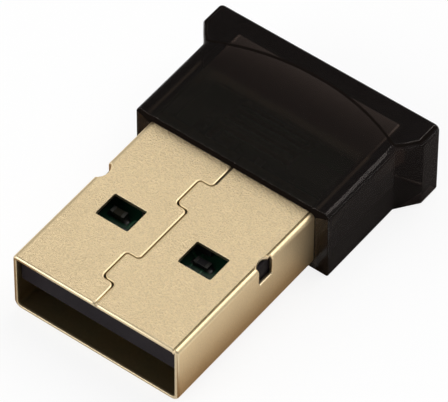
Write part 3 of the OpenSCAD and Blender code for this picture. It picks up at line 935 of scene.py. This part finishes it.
for i in range(5):
    turn = math.pi / 2 * (4 - i) / 4
    inset = rear_edge_r * (1 - math.sin(turn))
    rings.append(ring(housing, section(
        flange_half_w - inset, bottom_z + inset, flange_top - inset,
        max(upper_edge_r - inset, 0.05), max(lower_edge_r - inset, 0.02)),
        rear_y - rear_edge_r * (1 - math.cos(turn))))
inner_rings = []
lip = section(lip_half_w, -lip_half_h, lip_half_h, 0.32, 0.57)
inner_rings.append(ring(housing, section(
    lip_half_w + 0.06, -lip_half_h - 0.06, lip_half_h + 0.06, 0.38, 0.63), front_y))
inner_rings.append(ring(housing, lip, front_y + 0.06))
inner_rings.append(ring(housing, lip, cavity_front))
hollow = section(cavity_half_w, cavity_bottom, cavity_top, 0.25, 0.25, (ledge_x, ledge_z))
inner_rings.append(ring(housing, hollow, cavity_front + 0.02))
inner_rings.append(ring(housing, hollow, cavity_rear))
for first, second in zip(rings, rings[1:]):
    bridge(housing, first, second)
for first, second in zip(inner_rings, inner_rings[1:]):
    bridge(housing, first, second)
bridge(housing, rings[0], inner_rings[0])
housing.faces.new(rings[-1])
housing.faces.new(inner_rings[-1])
bmesh.ops.recalc_face_normals(housing, faces=housing.faces)
strip = housing.faces.layers.int.new("strip")
narrow = 0.2
for face in housing.faces:
    longest = max(edge.calc_length() for edge in face.edges)
    face[strip] = int(face.calc_area() < narrow * longest)
    middle = face.calc_center_median()
    # The narrow faces of the arch's raised step and the front face above the lip take an opaque
    # black: painted shade.
    if face[strip] and body_top + 0.01 < middle.z < flange_top - 0.01 and middle.y < rear_y - 0.5:
        face.material_index = 1
    elif middle.y < front_y + 0.03 and middle.z > lip_half_h:
        face.material_index = 1
    # The faces at the bottom take an opaque near black, so no light from the floor shows through:
    # painted shade.
    elif middle.z < bottom_z + lower_edge_r:
        face.material_index = 2
    elif (abs(middle.x) < lip_half_w + 0.02 and abs(middle.z) < lip_half_h + 0.02
          and front_y + 0.02 < middle.y < cavity_rear + 0.01):
        face.material_index = 3
# Masks of painted light for the smoke: Cavity is a paler tone over the part of the cavity above the
# board, and Line is a painted pale orange glint along each cavity side wall.
painted_light_group, entry, result = new_group(
    "wall",
    [("Half Width", 5.8), ("Rear", 18.1), ("Softness", 0.3), ("Line Place", 6.15),
     ("Line Width", 0.16)],
    ["Cavity", "Line"])
place = add(painted_light_group, "ShaderNodeTexCoord")
parts = add(painted_light_group, "ShaderNodeSeparateXYZ")
painted_light_group.links.new(place.outputs["Object"], parts.inputs["Vector"])
across = math_node(painted_light_group, "ABSOLUTE", math_node(
    painted_light_group, "DIVIDE", parts.outputs["X"], MM), 0)
along = math_node(painted_light_group, "DIVIDE", parts.outputs["Y"], MM)


def soft_step(value, limit):
    """1 where a value lies under a limit, 0 where it lies over it, with a soft change."""
    over = math_node(painted_light_group, "SUBTRACT", limit, value)
    share = math_node(painted_light_group, "DIVIDE", over, entry.outputs["Softness"])
    clamp = add(painted_light_group, "ShaderNodeClamp")
    painted_light_group.links.new(math_node(painted_light_group, "ADD", share, 0.5), clamp.inputs["Value"])
    return clamp.outputs["Result"]


over_board = soft_step(along, entry.outputs["Rear"])
painted_cavity = math_node(
    painted_light_group, "MULTIPLY", soft_step(across, entry.outputs["Half Width"]), over_board)
off_glint = math_node(
    painted_light_group, "ABSOLUTE",
    math_node(painted_light_group, "SUBTRACT", across, entry.outputs["Line Place"]), 0)
near_glint = math_node(
    painted_light_group, "SUBTRACT", 1,
    math_node(painted_light_group, "DIVIDE", off_glint, entry.outputs["Line Width"]))
painted_glint = math_node(
    painted_light_group, "MULTIPLY", math_node(painted_light_group, "MAXIMUM", near_glint, 0), over_board)
painted_light_group.links.new(painted_cavity, result.inputs["Cavity"])
painted_light_group.links.new(painted_glint, result.inputs["Line"])

smoke = surface(
    "smoke_plastic", (0.31, 0.26, 0.245), 0.12, grain=1.5, contrast=0.03, depth=0.0002,
    patch=3.0, patch_contrast=0.04, edge=0.02)
smoke_tree = smoke.node_tree
painted_light_masks = add(smoke_tree, "ShaderNodeGroup", node_tree=painted_light_group)
# The smoke's colour is painted paler over the board's part of the cavity, with a painted glint line
# along each side wall.
painted_cavity_tone = add(smoke_tree, "ShaderNodeMix", data_type="RGBA")
painted_cavity_tone.inputs["A"].default_value = (0.33, 0.27, 0.25, 1)
painted_cavity_tone.inputs["B"].default_value = (0.4, 0.36, 0.3, 1)
painted_glint_tone = add(smoke_tree, "ShaderNodeMix", data_type="RGBA")
painted_glint_tone.inputs["B"].default_value = (0.95, 0.72, 0.55, 1)
smoke_tree.links.new(painted_light_masks.outputs["Cavity"], painted_cavity_tone.inputs["Factor"])
smoke_tree.links.new(painted_light_masks.outputs["Line"], painted_glint_tone.inputs["Factor"])
smoke_tree.links.new(painted_cavity_tone.outputs["Result"], painted_glint_tone.inputs["A"])
edge_mix = smoke_tree.nodes["Mix"]
smoke_tree.links.new(painted_glint_tone.outputs["Result"], edge_mix.inputs["A"])
smoke_tree.links.new(painted_glint_tone.outputs["Result"], edge_mix.inputs["B"])
smoke_shader = smoke_tree.nodes["Principled BSDF"]
smoke_shader.inputs["Transmission Weight"].default_value = 0.98
smoke_shader.inputs["IOR"].default_value = 1.3
smoke_shader.inputs["Specular IOR Level"].default_value = 0.14
smoke_shader.inputs["Specular Tint"].default_value = (1, 0.88, 0.83, 1)
smoke_filling = add(smoke_tree, "ShaderNodeVolumeAbsorption")
smoke_filling.inputs["Color"].default_value = (0.28, 0.22, 0.17, 1)
smoke_filling.inputs["Density"].default_value = 1000
smoke_tree.links.new(
    smoke_filling.outputs["Volume"], smoke_tree.nodes["Material Output"].inputs["Volume"])
# An opaque black with no sheen: painted shade for the arch's step and the front face above the
# shell.
painted_shade_black = surface(
    "painted_shade_black", (0.008, 0.006, 0.005), 0.6, grain=0.09, contrast=0.1, depth=0.0015)
painted_shade_shader = painted_shade_black.node_tree.nodes["Principled BSDF"]
painted_shade_shader.inputs["Specular IOR Level"].default_value = 0
# An opaque near black for the underside and its rounded edge: painted shade.
painted_shade_base = surface(
    "painted_shade_base", (0.012, 0.01, 0.009), 0.3, grain=0.3, contrast=0.03, depth=0.001)
shade_base_shader = painted_shade_base.node_tree.nodes["Principled BSDF"]
shade_base_shader.inputs["IOR"].default_value = 1.3
smoke_inside = surface(
    "smoke_inside", (1, 1, 1), 0.08, grain=1.5, contrast=0.03, depth=0.0002)
inside_tree = smoke_inside.node_tree
inside_shader = inside_tree.nodes["Principled BSDF"]
inside_shader.inputs["Transmission Weight"].default_value = 1
inside_shader.inputs["IOR"].default_value = 1.3
inside_filling = add(inside_tree, "ShaderNodeVolumeAbsorption")
inside_filling.inputs["Color"].default_value = (0.28, 0.22, 0.17, 1)
inside_filling.inputs["Density"].default_value = 1000
inside_tree.links.new(
    inside_filling.outputs["Volume"], inside_tree.nodes["Material Output"].inputs["Volume"])
make_piece("smoke_housing", housing, [smoke, painted_shade_black, painted_shade_base, smoke_inside],
           "smoke_plastic", "housing")

# Stage
# A white floor that keeps a soft shadow, under one large soft lamp above, a weaker lamp on
# the left and one in front. A dark card high behind, seen only in reflections, dims what the
# plastic's top mirrors. Three dull cards on the floor by the object, also seen only in
# reflections, are painted shadow in what the sides mirror of the floor.

floor_bm = bmesh.new()
bmesh.ops.create_grid(floor_bm, x_segments=1, y_segments=1, size=3)
floor_mesh = bpy.data.meshes.new("floor")
floor_bm.to_mesh(floor_mesh)
floor_bm.free()
floor = bpy.data.objects.new("floor", floor_mesh)
floor.location.z = housing_low.z * MM - 0.00001
bpy.context.scene.collection.objects.link(floor)


floor_paper = bpy.data.materials.new("floor_paper")
floor_paper.use_nodes = True
paper = floor_paper.node_tree.nodes["Principled BSDF"]
paper.inputs["Base Color"].default_value = (0.97, 0.97, 0.97, 1)
paper.inputs["Roughness"].default_value = 1
paper.inputs["Specular IOR Level"].default_value = 0
seen_glow = 0.85
mirrored_glow = 0.15
tree = floor_paper.node_tree
rays = add(tree, "ShaderNodeLightPath")
mirrored = math_node(
    tree, "MAXIMUM", rays.outputs["Is Glossy Ray"], rays.outputs["Is Transmission Ray"])
share = math_node(
    tree, "ADD", math_node(tree, "MULTIPLY", rays.outputs["Is Camera Ray"], seen_glow),
    math_node(tree, "MULTIPLY", mirrored, mirrored_glow))
glow = add(tree, "ShaderNodeEmission")
glow.inputs["Color"].default_value = (1, 1, 1, 1)
blend = add(tree, "ShaderNodeMixShader")
tree.links.new(share, blend.inputs["Fac"])
tree.links.new(paper.outputs["BSDF"], blend.inputs[1])
tree.links.new(glow.outputs["Emission"], blend.inputs[2])
tree.links.new(blend.outputs["Shader"], tree.nodes["Material Output"].inputs["Surface"])
floor_mesh.materials.append(floor_paper)

world_level = 0.32
world = bpy.data.worlds.new("pale_room")
bpy.context.scene.world = world
world.use_nodes = True
sky = world.node_tree.nodes["Background"]
sky.inputs["Color"].default_value = (1, 1, 1, 1)
sky.inputs["Strength"].default_value = world_level

middle = Vector((0, 0.012, 0))


def card(name, colour, place, way, length, width):
    """A card at a place, seen only in reflections, that faces along or against a direction."""
    bm = bmesh.new()
    bmesh.ops.create_grid(bm, x_segments=1, y_segments=1, size=0.5)
    bmesh.ops.scale(bm, vec=(width, length, 1), verts=bm.verts)
    mesh = bpy.data.meshes.new(name)
    bm.to_mesh(mesh)
    bm.free()
    paper = bpy.data.materials.new(name + "_paper")
    paper.use_nodes = True
    paper_shader = paper.node_tree.nodes["Principled BSDF"]
    paper_shader.inputs["Base Color"].default_value = (*colour, 1)
    paper_shader.inputs["Roughness"].default_value = 1
    paper_shader.inputs["Specular IOR Level"].default_value = 0
    mesh.materials.append(paper)
    made = bpy.data.objects.new(name, mesh)
    made.location = place
    made.rotation_euler = way.to_track_quat("Z", "Y").to_euler()
    made.visible_camera = False
    made.visible_diffuse = False
    made.visible_shadow = False
    bpy.context.scene.collection.objects.link(made)


rear_way = Vector((-0.39, 0.52, 0.76)).normalized()
card("rear_card", (0.05, 0.05, 0.05), middle + rear_way * 0.35, rear_way, 0.15, 0.15)
up = Vector((0, 0, 1))
card_z = floor.location.z + 0.00002
# Three dull cards on the floor beside the object, seen only in reflections: painted shadow in what
# the shell's and housing's sides mirror of the floor.
card("side_shadow_card", (0.17, 0.15, 0.14), (0.0161, 0.022, card_z), up, 0.018, 0.018)
card("right_shadow_card", (0.28, 0.18, 0.1), (0.0071, 0.003, card_z), up, 0.02, 0.0022)
card("left_shadow_card", (0.28, 0.18, 0.1), (-0.0091, 0.003, card_z), up, 0.02, 0.006)


def soft_lamp(name, direction, distance, size, power, colour=(1, 1, 1)):
    """A square lamp that faces the object from a direction."""
    light = bpy.data.lights.new(name, "AREA")
    light.shape = "SQUARE"
    light.size = size
    light.energy = power
    light.color = colour
    lamp_object = bpy.data.objects.new(name, light)
    way = Vector(direction).normalized()
    lamp_object.location = middle + way * distance
    lamp_object.rotation_euler = way.to_track_quat("Z", "Y").to_euler()
    bpy.context.scene.collection.objects.link(lamp_object)


soft_lamp("key", (0.2, 0.6, 0.95), 0.5, 0.5, 1.72)
soft_lamp("left_fill", (-0.9, -0.1, 0.5), 0.5, 0.4, 0.3)
soft_lamp("front_fill", (-0.4, -0.8, 0.42), 0.5, 0.4, 1.3)

# Camera
# It looks from the front right and above, as far off as the photograph's perspective asks.

aim = Vector((0.04, 12.18, 0)) * MM
azimuth = math.radians(36.944)
elevation = math.radians(49.391)
roll = math.radians(0.317)
distance = 327.4 * MM
turn = (Matrix.Rotation(azimuth, 4, "Z") @ Matrix.Rotation(math.pi / 2 - elevation, 4, "X")
        @ Matrix.Rotation(roll, 4, "Z"))
camera_data = bpy.data.cameras.new("camera")
camera_data.sensor_width = 36
camera_data.lens = 450
camera_data.clip_start = 0.01
camera_data.clip_end = 10
camera = bpy.data.objects.new("camera", camera_data)
camera.matrix_world = Matrix.Translation(aim) @ turn @ Matrix.Translation((0, 0, distance))
bpy.context.scene.collection.objects.link(camera)
bpy.context.scene.camera = camera
bpy.context.scene.view_settings.view_transform = "Standard"
